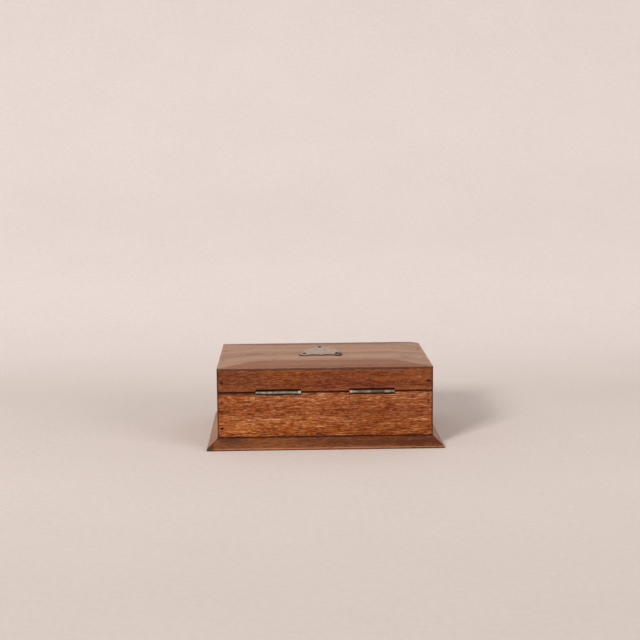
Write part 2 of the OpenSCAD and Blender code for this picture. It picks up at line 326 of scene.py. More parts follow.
class Stain(ShaderGroup):
    """A soft-edged box of dirt, wear or shade, frayed at its border."""

    title = "stain"
    takes = {"Place": VECTOR, "Centre": VECTOR, "Half": VECTOR, "Fade": FLOAT, "Raggedness": FLOAT,
             "Hollow": VECTOR}
    gives = {"Mask": FLOAT}
    fray = Layer((280.0, 280.0, 620.0), weight=2.0)

    def compose(self, bench: Bench, given: Sockets) -> Sockets:
        """Measures the way out of the box in fades, frays it and keeps it out of the hollow.

        Args:
            bench: The bench of the group's tree.
            given: The group's inputs by name.

        Returns:
            What the group gives, by name.
        """
        place = given["Place"]
        away = bench.vector("SUBTRACT", place, given["Centre"]).outputs[0]
        share = bench.math("DIVIDE", self.way_out(bench, away, given["Half"]), given["Fade"])
        frayed = self.fray.swing(bench, self.fray.noise(bench, place))
        share = bench.math("MULTIPLY_ADD", frayed, given["Raggedness"], share)
        clear = bench.ramp(self.way_out(bench, place, given["Hollow"]), 0.0, given["Fade"])
        return {"Mask": bench.math("MULTIPLY", clear, bench.ramp(share, 0.0, 1.0, 1.0, 0.0))}

    @staticmethod
    def way_out(bench: Bench, away: Feed, half: Feed) -> Socket:
        """Returns how far a point lies outside a box round zero."""
        beyond = bench.vector("SUBTRACT", bench.vector("ABSOLUTE", away).outputs[0], half).outputs[0]
        return bench.vector("LENGTH", bench.vector("MAXIMUM", beyond, ORIGIN).outputs[0]).outputs["Value"]


class Tarnish(ShaderGroup):
    """Dull metal: cloudy tarnish over a cleaner ground, with fine scratches."""

    title = "tarnish"
    takes = {"Place": VECTOR, "Clean": COLOUR, "Dull": COLOUR, "Amount": FLOAT}
    gives = {"Colour": COLOUR, "Sheen": FLOAT, "Height": FLOAT}
    clouds = Layer((170.0, 170.0, 170.0), 4.0, 0.65, 0.6)
    specks = Layer((900.0, 900.0, 900.0), 1.0, weight=0.6)
    scratches = Layer((220.0, 2600.0, 900.0), 1.0, weight=0.4)
    speck_edge = (0.6, 0.72)
    clear_level = 0.85
    cloud_edge = (-0.15, 0.2)

    def compose(self, bench: Bench, given: Sockets) -> Sockets:
        """Mixes the two tones by clouds and specks, and scratches the surface.

        Args:
            bench: The bench of the group's tree.
            given: The group's inputs by name.

        Returns:
            What the group gives, by name.
        """
        clouds, specks, scratches = (layer.noise(bench, given["Place"])
                                     for layer in (self.clouds, self.specks, self.scratches))
        level = bench.math("SUBTRACT", self.clear_level, given["Amount"])
        dull = bench.ramp(clouds, *(bench.math("ADD", level, step) for step in self.cloud_edge))
        specked = bench.math("MULTIPLY", bench.ramp(specks, *self.speck_edge), self.specks.weight)
        dull = bench.math("MAXIMUM", dull, specked)
        soft = bench.math("MULTIPLY", clouds, self.clouds.weight)
        return {
            "Colour": bench.mix(dull, given["Clean"], given["Dull"]),
            "Sheen": dull,
            "Height": bench.math("MULTIPLY_ADD", scratches, self.scratches.weight, soft),
        }


# Marks


class Lay(Enum):
    """How a mark lies on the surface: over it, or as a glaze that lets the grain through."""

    COVER = "MIX"
    GLAZE = "MULTIPLY"


@dataclass(frozen=True)
class Mark:
    """One stain, seam, scribed line or worn place, as a soft-edged box that is measured in millimetres."""

    centre: Point
    half: Point
    fade: float
    colour: Colour
    strength: float = 0.8
    raggedness: float = 0.5
    lay: Lay = Lay.COVER
    hollow: Point = ORIGIN

    def over(self, bench: Bench, place: Socket, colour: Feed) -> Socket:
        """Lays the mark over a colour.

        Args:
            bench: The bench of the material.
            place: The place on the object.
            colour: The colour beneath.

        Returns:
            The marked colour.
        """
        centre, half, hollow = (tuple(c * MM for c in p) for p in (self.centre, self.half, self.hollow))
        mask = Stain().place(bench, Place=place, Centre=centre, Half=half, Fade=self.fade * MM,
                             Raggedness=self.raggedness, Hollow=hollow)[0]
        share = bench.math("MULTIPLY", mask, self.strength)
        return bench.mix(share, colour, self.colour, blend=self.lay.value)


Marks = tuple[Mark, ...]
SKIN = (119.2, 83.2, ALL)
BARE_HALF = (110.1, 74.1, 88.6)


def seam(level: float, half: float, fade: float, colour: Colour, strength: float,
         raggedness: float = 0.5) -> Mark:
    """A level line of dirt, wear or painted shade that runs round the outside of the box at one height."""
    return Mark((0, 0, level), (ALL, ALL, half), fade, colour, strength, raggedness, hollow=SKIN)


def bare_inside(strength: float = 0.72) -> Mark:
    """The bare wood of every inner face."""
    return Mark(ORIGIN, BARE_HALF, 0.3, tone(184, 138, 98), strength, 0.0)


# Finishes


class Finish:
    """What every finish shares: it works out a shader's inputs, and is laid into a material of its own."""

    name: str

    def paint(self, bench: Bench, place: Socket) -> Feeds:
        """Works out what goes into the shader. Each kind of finish has its own.

        Args:
            bench: The bench of the material.
            place: The place on the object.

        Returns:
            A feed for each of the shader's inputs that the finish sets.
        """
        raise NotImplementedError

    def make(self) -> bpy.types.Material:
        """Lays the finish into a material.

        Returns:
            The material.
        """
        material = bpy.data.materials.new(self.name)
        material.use_nodes = True
        material.node_tree.nodes.clear()
        bench = Bench(material.node_tree)
        place = bench.add("ShaderNodeTexCoord").outputs["Object"]
        shader = bench.add("ShaderNodeBsdfPrincipled", self.paint(bench, place))
        bench.add("ShaderNodeOutputMaterial", {0: shader.outputs[0]})
        return material

    @staticmethod
    def bump(bench: Bench, height: Socket, strength: float, relief: float) -> Socket:
        """Turns a height into a normal."""
        feeds = {"Strength": strength, "Distance": relief, "Height": height}
        return bench.add("ShaderNodeBump", feeds).outputs[0]


@dataclass(frozen=True)
class WoodTones:
    """The tones of one timber, from its ripple to its pores."""

    pale: Colour
    middle: Colour
    dark: Colour


@dataclass(frozen=True)
class WoodFinish(Finish):
    """The finish of one board."""

    name: str
    node: str
    tones: WoodTones
    grain: Grain = Grain.ALONG_LENGTH
    figure_at: Point = ORIGIN
    ripple: float = 1.0
    pores: float = 0.7
    bands: float = 1.0
    coarseness: float = 1.0
    roughness: float = 0.5
    pore_dullness: float = 0.3
    specular: float = 0.12
    relief: float = 0.12 * MM
    relief_strength: float = 0.6
    arris: Colour = (0.02, 0.008, 0.004, 1.0)
    arris_width: float = 0.9 * MM
    arris_strength: float = 0.85
    marks: Marks = ()
    # Faces that lean along Y are glazed darker: painted shade of the top's long slopes.
    slope_painted_shade: Colour | None = None
    slope_dullness: float = 0.1
    slope_edge: tuple[float, float] = (0.035, 0.085)

    def paint(self, bench: Bench, place: Socket) -> Feeds:
        """Lays grain, worn arrises, marks and the painted shade of the slopes over each other.

        Args:
            bench: The bench of the material.
            place: The place on the object.

        Returns:
            A feed for each of the shader's inputs that the finish sets.
        """
        turn = {"Vector": place, "Location": self.figure_at, "Rotation": (0.0, 0.0, -self.grain.value)}
        turned = bench.add("ShaderNodeMapping", turn, vector_type="POINT").outputs[0]
        tones = self.tones
        grain = WoodGrain().place(bench, Place=turned, Pale=tones.pale, Middle=tones.middle, Dark=tones.dark,
                                  Ripple=self.ripple, Pores=self.pores, Bands=self.bands,
                                  Coarseness=self.coarseness)
        low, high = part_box(self.node)
        wear = ArrisWear().place(bench, Place=place, Low=low, High=high, Width=self.arris_width)[0]
        colour = bench.mix(bench.math("MULTIPLY", wear, self.arris_strength), grain["Colour"], self.arris)
        for mark in self.marks:
            colour = mark.over(bench, place, colour)
        roughness = bench.math("MULTIPLY_ADD", grain["Sheen"], self.pore_dullness, self.roughness, clamp=True)
        # Painted shade: the long slopes are multiplied darker by how far they lean.
        if self.slope_painted_shade:
            lean = bench.parts(bench.add("ShaderNodeTexCoord").outputs["Normal"])[1]
            slope = bench.ramp(bench.math("ABSOLUTE", lean), *self.slope_edge)
            colour = bench.mix(slope, colour, self.slope_painted_shade, blend=Lay.GLAZE.value)
            roughness = bench.math("MULTIPLY_ADD", slope, self.slope_dullness, roughness, clamp=True)
        return {"Base Color": colour, "Roughness": roughness, "Specular IOR Level": self.specular,
                "Normal": self.bump(bench, grain["Height"], self.relief_strength, self.relief)}


@dataclass(frozen=True)
class MetalFinish(Finish):
    """The finish of a metal part."""

    name: str
    clean: Colour
    dull: Colour
    amount: float = 0.5
    roughness: float = 0.35
    metallic: float = 1.0
    specular: float = 0.5
    haze: float = 0.25
    relief: float = 0.05 * MM
    relief_strength: float = 0.4
    marks: Marks = ()

    def paint(self, bench: Bench, place: Socket) -> Feeds:
        """Lays tarnish and marks over the metal.

        Args:
            bench: The bench of the material.
            place: The place on the object.

        Returns:
            A feed for each of the shader's inputs that the finish sets.
        """
        skin = Tarnish().place(bench, Place=place, Clean=self.clean, Dull=self.dull, Amount=self.amount)
        colour = skin["Colour"]
        for mark in self.marks:
            colour = mark.over(bench, place, colour)
        roughness = bench.math("MULTIPLY_ADD", skin["Sheen"], self.haze, self.roughness, clamp=True)
        return {"Base Color": colour, "Roughness": roughness, "Metallic": self.metallic,
                "Specular IOR Level": self.specular,
                "Normal": self.bump(bench, skin["Height"], self.relief_strength, self.relief)}


@dataclass(frozen=True)
class PaperFinish(Finish):
    """The sweep's matt surface, a little paler up the wall, with faint mottling."""

    name: str
    floor: Colour
    wall: Colour
    wall_foot: tuple[float, float] = (-0.56, -0.18)
    nearer: tuple[float, ...] = (0.2, 0.65, 1.0, 0.885)
    higher: tuple[float, ...] = (0.0, 0.2, 1.0, 0.91)
    highest: tuple[float, ...] = (0.2, 0.8, 1.0, 0.93)
    mottle: Layer = Layer((7.0, 7.0, 7.0), 5.0, 0.62)
    mottle_shades: tuple[float, ...] = (0.25, 0.75, 0.985, 1.01)
    specks: Layer = Layer((160.0, 160.0, 160.0))
    speck_shades: tuple[float, ...] = (0.3, 0.7, -0.02, 0.02)
    roughness: float = 0.9
    specular: float = 0.1

    def paint(self, bench: Bench, place: Socket) -> Feeds:
        """Mixes floor into wall and shades it towards the front and the top.

        Args:
            bench: The bench of the material.
            place: The place on the object.

        Returns:
            A feed for each of the shader's inputs that the finish sets.
        """
        _, depth, height = bench.parts(place)
        ground = bench.mix(bench.ramp(depth, *self.wall_foot), self.wall, self.floor)
        upper = bench.math("MULTIPLY", bench.ramp(height, *self.higher), bench.ramp(height, *self.highest))
        shade = bench.math("ADD", bench.ramp(self.mottle.noise(bench, place), *self.mottle_shades),
                           bench.ramp(self.specks.noise(bench, place), *self.speck_shades))
        shade = bench.math("MULTIPLY", shade, bench.math("MULTIPLY", bench.ramp(depth, *self.nearer), upper))
        return {"Base Color": bench.mix(1.0, ground, shade, blend="MULTIPLY"), "Roughness": self.roughness,
                "Specular IOR Level": self.specular}


# Shaping


def place_in_scene(name: str, data: bpy.types.ID) -> bpy.types.Object:
    """Makes an object round its data and links it to the scene.

    Args:
        name: The object's name.
        data: Its mesh, lamp or camera.

    Returns:
        The object.
    """
    made = bpy.data.objects.new(name, data)
    bpy.context.scene.collection.objects.link(made)
    return made


class Workpiece:
    """A solid on the bench, shaped with mesh operators and then made an object."""

    sharp = 0.35
    rod_sides = 20

    def __init__(self, name: str) -> None:
        """Starts an empty workpiece with the name of the object to be."""
        self.name = name
        self.bm = bmesh.new()

    def block(self, low: Vector, high: Vector) -> "Workpiece":
        """Adds a squared block.

        Args:
            low: Its lowest corner.
            high: Its highest corner.

        Returns:
            The workpiece.
        """
        place = Matrix.Translation((low + high) / 2) @ Matrix.Diagonal((*(high - low), 1.0))
        bmesh.ops.create_cube(self.bm, size=1.0, matrix=place)
        return self

    def rod(self, centre: Vector, radius: float, length: float, turn: Matrix) -> "Workpiece":
        """Adds a round rod.

        Args:
            centre: Middle of the rod.
            radius: Its radius.
            length: Its length along local Z.
            turn: Rotation that brings local Z to its place.

        Returns:
            The workpiece.
        """
        place = Matrix.Translation(centre) @ turn
        bmesh.ops.create_cone(self.bm, cap_ends=True, cap_tris=False, segments=self.rod_sides, radius1=radius,
                              radius2=radius, depth=length, matrix=place)
        return self

    def prism(self, outline: Sequence[Vector], travel: Vector) -> "Workpiece":
        """Draws a flat outline and pulls it out into a solid.

        Args:
            outline: Corners of the outline, in order.
            travel: How far and which way it is pulled.

        Returns:
            The workpiece.
        """
        face = self.bm.faces.new([self.bm.verts.new(p) for p in outline])
        pulled = bmesh.ops.extrude_face_region(self.bm, geom=[face], use_keep_orig=False)["geom"]
        return self.draw_out(pulled, travel)

    def draw_out(self, pulled: Sequence, travel: Vector) -> "Workpiece":
        """Moves the corners of extruded geometry, and points every face outwards.

        Args:
            pulled: The new geometry.
            travel: How far and which way it moves.

        Returns:
            The workpiece.
        """
        corners = [v for v in pulled if isinstance(v, bmesh.types.BMVert)]
        bmesh.ops.translate(self.bm, vec=travel, verts=corners)
        return self.right_way_out()

    def cut(self, point: Vector, away: Vector, off: bool = False) -> list:
        """Cuts the faces along a plane.

        Args:
            point: A point of the plane.
            away: Its normal.
            off: Says whether what lies beyond the plane falls off.

        Returns:
            The edges and corners of the cut.
        """
        everything = self.bm.verts[:] + self.bm.edges[:] + self.bm.faces[:]
        return bmesh.ops.bisect_plane(self.bm, geom=everything, dist=1e-7, plane_co=point, plane_no=away,
                                      clear_outer=off)["geom_cut"]

    def saw(self, point: Vector, away: Vector) -> "Workpiece":
        """Saws off what lies beyond a plane and closes the cut.

        Args:
            point: A point of the plane.
            away: Its normal, towards the waste.

        Returns:
            The workpiece.
        """
        rim = [e for e in self.cut(point, away, off=True) if isinstance(e, bmesh.types.BMEdge)]
        bmesh.ops.holes_fill(self.bm, edges=rim, sides=0)
        return self.right_way_out()

    def right_way_out(self) -> "Workpiece":
        """Points every face outwards."""
        bmesh.ops.recalc_face_normals(self.bm, faces=self.bm.faces[:])
        return self

    def bevel(self, edges: list[bmesh.types.BMEdge], width: float, segments: int) -> list[bmesh.types.BMFace]:
        """Bevels edges and returns the new faces."""
        return bmesh.ops.bevel(self.bm, geom=edges, offset=width, offset_type="OFFSET", segments=segments,
                               profile=0.5, affect="EDGES", clamp_overlap=True, material=-1)["faces"]

    def ease(self, width: float, chosen: Callable[[bmesh.types.BMEdge], bool] = lambda edge: True,
             segments: int = 3) -> "Workpiece":
        """Rounds the sharp edges that are chosen.

        Args:
            width: How far each face is cut back.
            chosen: Says whether an edge is eased.
            segments: Steps in the rounding.

        Returns:
            The workpiece.
        """
        sharp = [e for e in self.bm.edges if e.calc_face_angle(0.0) > self.sharp and chosen(e)]
        for face in self.bevel(sharp, width, segments):
            face.smooth = True
        return self

    def finish(self) -> bpy.types.Object:
        """Turns the workpiece into an object at the origin.

        Returns:
            The new object.
        """
        mesh = bpy.data.meshes.new(self.name)
        self.bm.to_mesh(mesh)
        self.bm.free()
        return place_in_scene(self.name, mesh)


def carve(target: bpy.types.Object, cutter: Workpiece) -> None:
    """Cuts the shapes of one workpiece out of an object.

    Args:
        target: The object that loses wood.
        cutter: The shapes to take out.
    """
    tool = cutter.finish()
    cut = target.modifiers.new("carve", "BOOLEAN")
    cut.operation = "DIFFERENCE"
    cut.solver = "EXACT"
    cut.use_self = True
    cut.object = tool
    graph = bpy.context.evaluated_depsgraph_get()
    carved = bpy.data.meshes.new_from_object(target.evaluated_get(graph))
    target.modifiers.clear()
    target.data = carved
    bpy.data.objects.remove(tool)


def coat(shown: bpy.types.Object, material: bpy.types.Material) -> None:
    """Gives an object its one material."""
    shown.data.materials.clear()
    shown.data.materials.append(material)


def settle(piece: bpy.types.Object, body: str, material: bpy.types.Material, node: str) -> None:
    """Gives a finished piece its material and its body, and hides the node that it replaces.

    Args:
        piece: The finished piece.
        body: The body that it rides on.
        material: Its material.
        node: The node that it replaces.
    """
    coat(piece, material)
    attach(piece, body)
    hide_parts(node)
    log.info("%s: %d faces on %s", piece.name, len(piece.data.polygons), body)


def dress(node: str, material: bpy.types.Material) -> None:
    """Gives a node that stays as it is a better material."""
    coat(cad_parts[node], material)
    log.info("%s: kept from the frame", node)


def spot(x: float, y: float, z: float) -> Vector:
    """A point given in millimetres."""
    return Vector((x, y, z)) * MM


# The object


@dataclass
class Nailing:
    """Where nails go in, and the recess and the stain over each head, in millimetres."""

    x: float = 115.0
    face_y: float = 84.0
    hole_radius: float = 1.43
    depth: float = 1.0
    run: float = 0.2
    rust: Colour = tone(50, 24, 14)

    def recesses(self, name: str, face: int, heights: Sequence[float]) -> Workpiece:
        """Shapes the recesses in a front or back face.

        Args:
            name: Name of the cutter.
            face: 1 for the back face and -1 for the front one.
            heights: Height of each row.

        Returns:
            The cutter, a short rod for each nail.
        """
        cutter = Workpiece(name)
        turn = Matrix.Rotation(math.pi / 2, 4, "X")
        for side in (-1, 1):
            for height in heights:
                head = spot(side * self.x, face * self.face_y, height)
                cutter.rod(head, self.hole_radius * MM, 2 * self.depth * MM, turn)
        return cutter

    def stains(self, face: int, heights: Sequence[float], strengths: tuple[float, float]) -> Marks:
        """Gives the rust stains round the nails of one face.

        Args:
            face: 1 for the back face and -1 for the front one.
            heights: Height of each row.
            strengths: How dark the stains are at -X and at +X.

        Returns:
            One mark for each nail.
        """
        x = self.x - self.run
        y = face * self.face_y
        return tuple(Mark((side * x, y, height - self.run), (1.3, 2, 0.5), 1.9, self.rust, strength, 0.75)
                     for side, strength in zip((-1, 1), strengths) for height in heights)


@dataclass
class Hinges:
    """The two butt hinges and the recesses that take them, in millimetres."""

    length: float = 50.0
    lefts: tuple[float, float] = (27.0, -77.0)
    axis_y: float = 85.0
    axis_z: float = 63.25
    play: float = 0.03
    leaf_depth: float = 8.0
    leaf_face: float = 1.35
    recess: float = 2.8
    face_y: float = 84.0
    scribed: tuple[float, float] = (2.0, 3.5)
    dark_knuckle: float = 18.75
    # Painted shade in the hinge recesses.
    painted_shade: Colour = tone(30, 11, 4)
    # Painted shade along the upper and lower edges of the barrels.
    barrel_shade: Colour = tone(58, 36, 24)
    scribe: Colour = tone(84, 36, 14)

    def mortises(self, cutter: Workpiece, up: int) -> None:
        """Adds the recesses for both hinges to a cutter.

        Args:
            cutter: The cutter.
            up: 1 for the lid's rail and -1 for the box's board.
        """
        steps = ((self.face_y - self.leaf_depth, self.leaf_face), (self.axis_y - self.recess, self.recess))
        for left in self.lefts:
            for near, deep in steps:
                top = self.axis_z + up * deep
                far = self.axis_z - up * 2
                cutter.block(spot(left - self.play, near - self.play, min(top, far)),
                             spot(left + self.length + self.play, self.face_y + 3, max(top, far)))

    def shades(self, up: int) -> Marks:
        """Gives the painted shade in and round the recesses, and on the box the fitter's scribed lines too.

        Args:
            up: 1 for the lid's rail and -1 for the box's board.

        Returns:
            The marks.
        """
        deep = self.recess + (0.35 if up > 0 else 0.1)
        # Painted shade in and round each recess.
        painted_shade = tuple(Mark((left + self.length / 2, self.face_y, self.axis_z), (self.length / 2, 9, deep), 0.8,
                          self.painted_shade, 0.96, 0.3) for left in self.lefts)
        lines = tuple(Mark((left + self.length + 0.4, self.face_y, self.axis_z - 6.5), (0.1, 2, drop), 0.7,
                           self.scribe, 0.75, 0.3) for left, drop in zip(self.lefts, self.scribed))
        return painted_shade if up > 0 else painted_shade + lines

    def on_barrel(self, left: float, at: float, rise: float = 0.0) -> Point:
        """Gives a place on a barrel, by its way from the hinge's -X end and its rise over the axis."""
        return left + at, self.axis_y, self.axis_z + rise

    def edges(self, left: float, upper: float, lower: float, upper_strength: float) -> Marks:
        """Gives the painted shade along the upper and the lower edge of a barrel.

        Args:
            left: The hinge's -X end.
            upper: Half the height of the upper line.
            lower: Half the height of the lower one.
            upper_strength: How dark the upper line is.

        Returns:
            The two marks.
        """
        lines = ((self.recess, upper, upper_strength), (-self.recess, lower, 0.9))
        middle = self.length / 2
        return tuple(Mark(self.on_barrel(left, middle, rise), (30, 4, half), 0.8, self.barrel_shade, strength, 0.4)
                     for rise, half, strength in lines)

    def build(self) -> None:
        """Dresses the leaves, pins and screws."""
        end = (1.0, 4, 3)
        left, right = self.lefts
        greenish = self.edges(left, 1.3, 1.0, 0.9) + (
            # A pale spot at the barrel's -X end: painted highlight.
            Mark(self.on_barrel(left, 1.2), end, 1.5, tone(214, 200, 190), 0.55, 0.3),
            Mark(self.on_barrel(left, 22, 1), (7, 4, 0.6), 3, tone(104, 112, 92), 0.35, 0.7),
        )
        brownish = self.edges(right, 1.0, 1.3, 0.8) + (
            # A pale spot at the barrel's +X end: painted highlight.
            Mark(self.on_barrel(right, self.length - 1.4), end, 1.5, tone(206, 190, 178), 0.5, 0.3),
            Mark(self.on_barrel(right, self.dark_knuckle), (5.9, 4, 2), 0.7, tone(96, 76, 60), 0.75, 0.4),
        )
        for side, clean, dull, marks in (("left", tone(176, 168, 152), tone(118, 110, 96), greenish),
                                         ("right", tone(178, 156, 140), tone(116, 94, 80), brownish)):
            plated = MetalFinish("plating_" + side, clean, dull, 0.42, 0.4, marks=marks).make()
            for part in ("box_leaf", "lid_leaf", "pin"):
                dress(f"{side}_hinge_{part}", plated)
        plain = MetalFinish("plated_screws", tone(190, 182, 166), tone(118, 106, 90), 0.5, 0.34).make()
        for node in ("box_leaf_screws", "lid_leaf_screws"):
            dress(node, plain)


@dataclass
class Walls:
    """Four boards in a rectangle: a front and a back, rebated at their ends and nailed to two sides."""

    body: str
    slot: Slot
    up: int
    arris: float
    nail_rows: tuple[float, ...]
    nail_stains: tuple[float, float]
    long_boards: tuple[tuple[str, int, Point], ...]
    side_boards: tuple[tuple[str, Point], ...]
    rebate: float = 4.0 * MM
    corner_arris: float = 0.7 * MM
    side_arris: float = 0.15 * MM
    # Dirt with painted shade, for the joints at the top and the foot of the walls.
    painted_shade: Colour = tone(36, 11, 3)
    end_grain: Mark = Mark(ORIGIN, (ALL, ALL, ALL), 0.9, tone(66, 27, 11), 0.75, 0.25,
                           hollow=(117.7, ALL, ALL))

    def long_board(self, node: str, face: int) -> bpy.types.Object:
        """Shapes the front or back board with a rebate at each end.

        Args:
            node: The node that it stands for.
            face: 1 for the back board and -1 for the front one.

        Returns:
            The board.
        """
        low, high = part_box(node)
        inner, outer = (low.y, high.y) if face > 0 else (high.y, low.y)
        wall = high.y - low.y
        step = inner + face * self.rebate
        left, right = low.x + wall, high.x - wall
        outline = [(low.x, outer), (high.x, outer), (high.x, step), (right, step), (right, inner),
                   (left, inner), (left, step), (low.x, step)]
        corners = [Vector((x, y, low.z)) for x, y in outline]
        board = Workpiece(node).prism(corners, Vector((0, 0, high.z - low.z)))
        board.ease(self.corner_arris, lambda e: self.is_corner(e, outer, high.x))
        board.ease(self.arris, lambda e: all(abs(v.co.y - outer) < 2 * MM for v in e.verts)
                   and abs(e.verts[0].co.z - e.verts[1].co.z) < 0.1 * MM)
        return board.finish()

    @staticmethod
    def is_corner(edge: bmesh.types.BMEdge, outer: float, reach: float) -> bool:
        """Says whether an edge is one of the two upright outer corners."""
        a, b = (v.co for v in edge.verts)
        return abs(a.z - b.z) > MM and abs(a.y - outer) < 0.1 * MM and abs(abs(a.x) - reach) < 0.1 * MM

    def finish_for(self, node: str, grain: Grain, at: Point, marks: Marks = ()) -> bpy.types.Material:
        """Makes the finish of one board. Each kind of walls has its own.

        Args:
            node: The board's node.
            grain: Which way its grain runs.
            at: Where in the timber its figure is taken from.
            marks: Its own stains.

        Returns:
            The material.
        """
        raise NotImplementedError

    def build_walls(self) -> None:
        """Builds the four boards, with the recesses for their nails and hinges."""
        nailing = Nailing()
        hinges = Hinges()
        for node, face, at in self.long_boards:
            board = self.long_board(node, face)
            cutter = nailing.recesses(node + "_cutter", face, self.nail_rows)
            marks = nailing.stains(face, self.nail_rows, self.nail_stains) + (self.end_grain,)
            if face > 0:
                hinges.mortises(cutter, self.up)
                marks += hinges.shades(self.up)
            carve(board, cutter)
            settle(board, self.body, self.finish_for(node, Grain.ALONG_LENGTH, at, marks), node)
        for node, at in self.side_boards:
            board = Workpiece(node).block(*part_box(node)).ease(self.side_arris).finish()
            settle(board, self.body, self.finish_for(node, Grain.ALONG_DEPTH, at), node)


@dataclass
class Carcase(Walls):
    """The four walls and the bottom of the box."""

    body: str = "box"
    slot: Slot = Slot.CARCASE
    up: int = -1
    arris: float = 0.5 * MM
    nail_rows: tuple[float, ...] = (22.6, 51.89)
    nail_stains: tuple[float, float] = (0.45, 0.7)
    long_boards: tuple[tuple[str, int, Point], ...] = (
        ("back_board", 1, (0.3, 0.1, 0.7)), ("front_board", -1, (1.3, 0.5, 0.2)))
    side_boards: tuple[tuple[str, Point], ...] = (
        ("left_side_board", (0.8, 0.2, 0.4)), ("right_side_board", (1.9, 0.6, 0.9)))
    bottom_arris: float = 0.4 * MM
    tones: WoodTones = WoodTones(tone(190, 138, 98), tone(142, 76, 34), tone(86, 34, 8))
    inside: WoodTones = WoodTones(tone(196, 156, 116), tone(176, 132, 92), tone(136, 92, 58))

    def finish_for(self, node: str, grain: Grain, at: Point, marks: Marks = ()) -> bpy.types.Material:
        """Makes the oiled finish of one wall.

        Args:
            node: The wall's node.
            grain: Which way its grain runs.
            at: Where in the timber its figure is taken from.
            marks: Its own stains.

        Returns:
            The material.
        """
        low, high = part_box(node)
        # A warmer, lighter band low on the walls: painted glow.
        painted_glow_foot = Mark((0, 0, 20), (ALL, ALL, 3), 16, (1.08, 1.05, 0.74, 1.0), 0.8, 0.4, Lay.GLAZE)
        # The -X end of the walls is glazed darker: painted shade.
        painted_shade_end = Mark((-95, 0, 30), (30, ALL, ALL), 90, (0.78, 0.70, 0.66, 1.0), 0.9, 0.3, Lay.GLAZE)
        rim_smear = Mark((103, 0, 61.8), (20, ALL, 0.6), 1.5, tone(66, 28, 9), 0.7, hollow=SKIN)
        # The seams at the top and the foot of the walls are dirt with painted shade in the joints.
        common = (painted_glow_foot, painted_shade_end, seam(high.z / MM, 0.55, 0.7, self.painted_shade, 0.97, 0.35), rim_smear,
                  seam(low.z / MM, 0.5, 0.9, self.painted_shade, 0.9, 0.35), bare_inside())
        return WoodFinish("oiled_" + node, node, self.tones, grain, at, marks=common + marks).make()

    def build(self) -> None:
        """Builds the walls and the bottom."""
        self.build_walls()
        node = "bottom_board"
        bottom = Workpiece(node).block(*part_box(node)).ease(self.bottom_arris).finish()
        planed = WoodFinish("planed_bottom", node, self.inside, figure_at=(2.0, 0.0, 0.3), ripple=0.45,
                            roughness=0.65, arris_strength=0.3)
        settle(bottom, self.body, planed.make(), node)


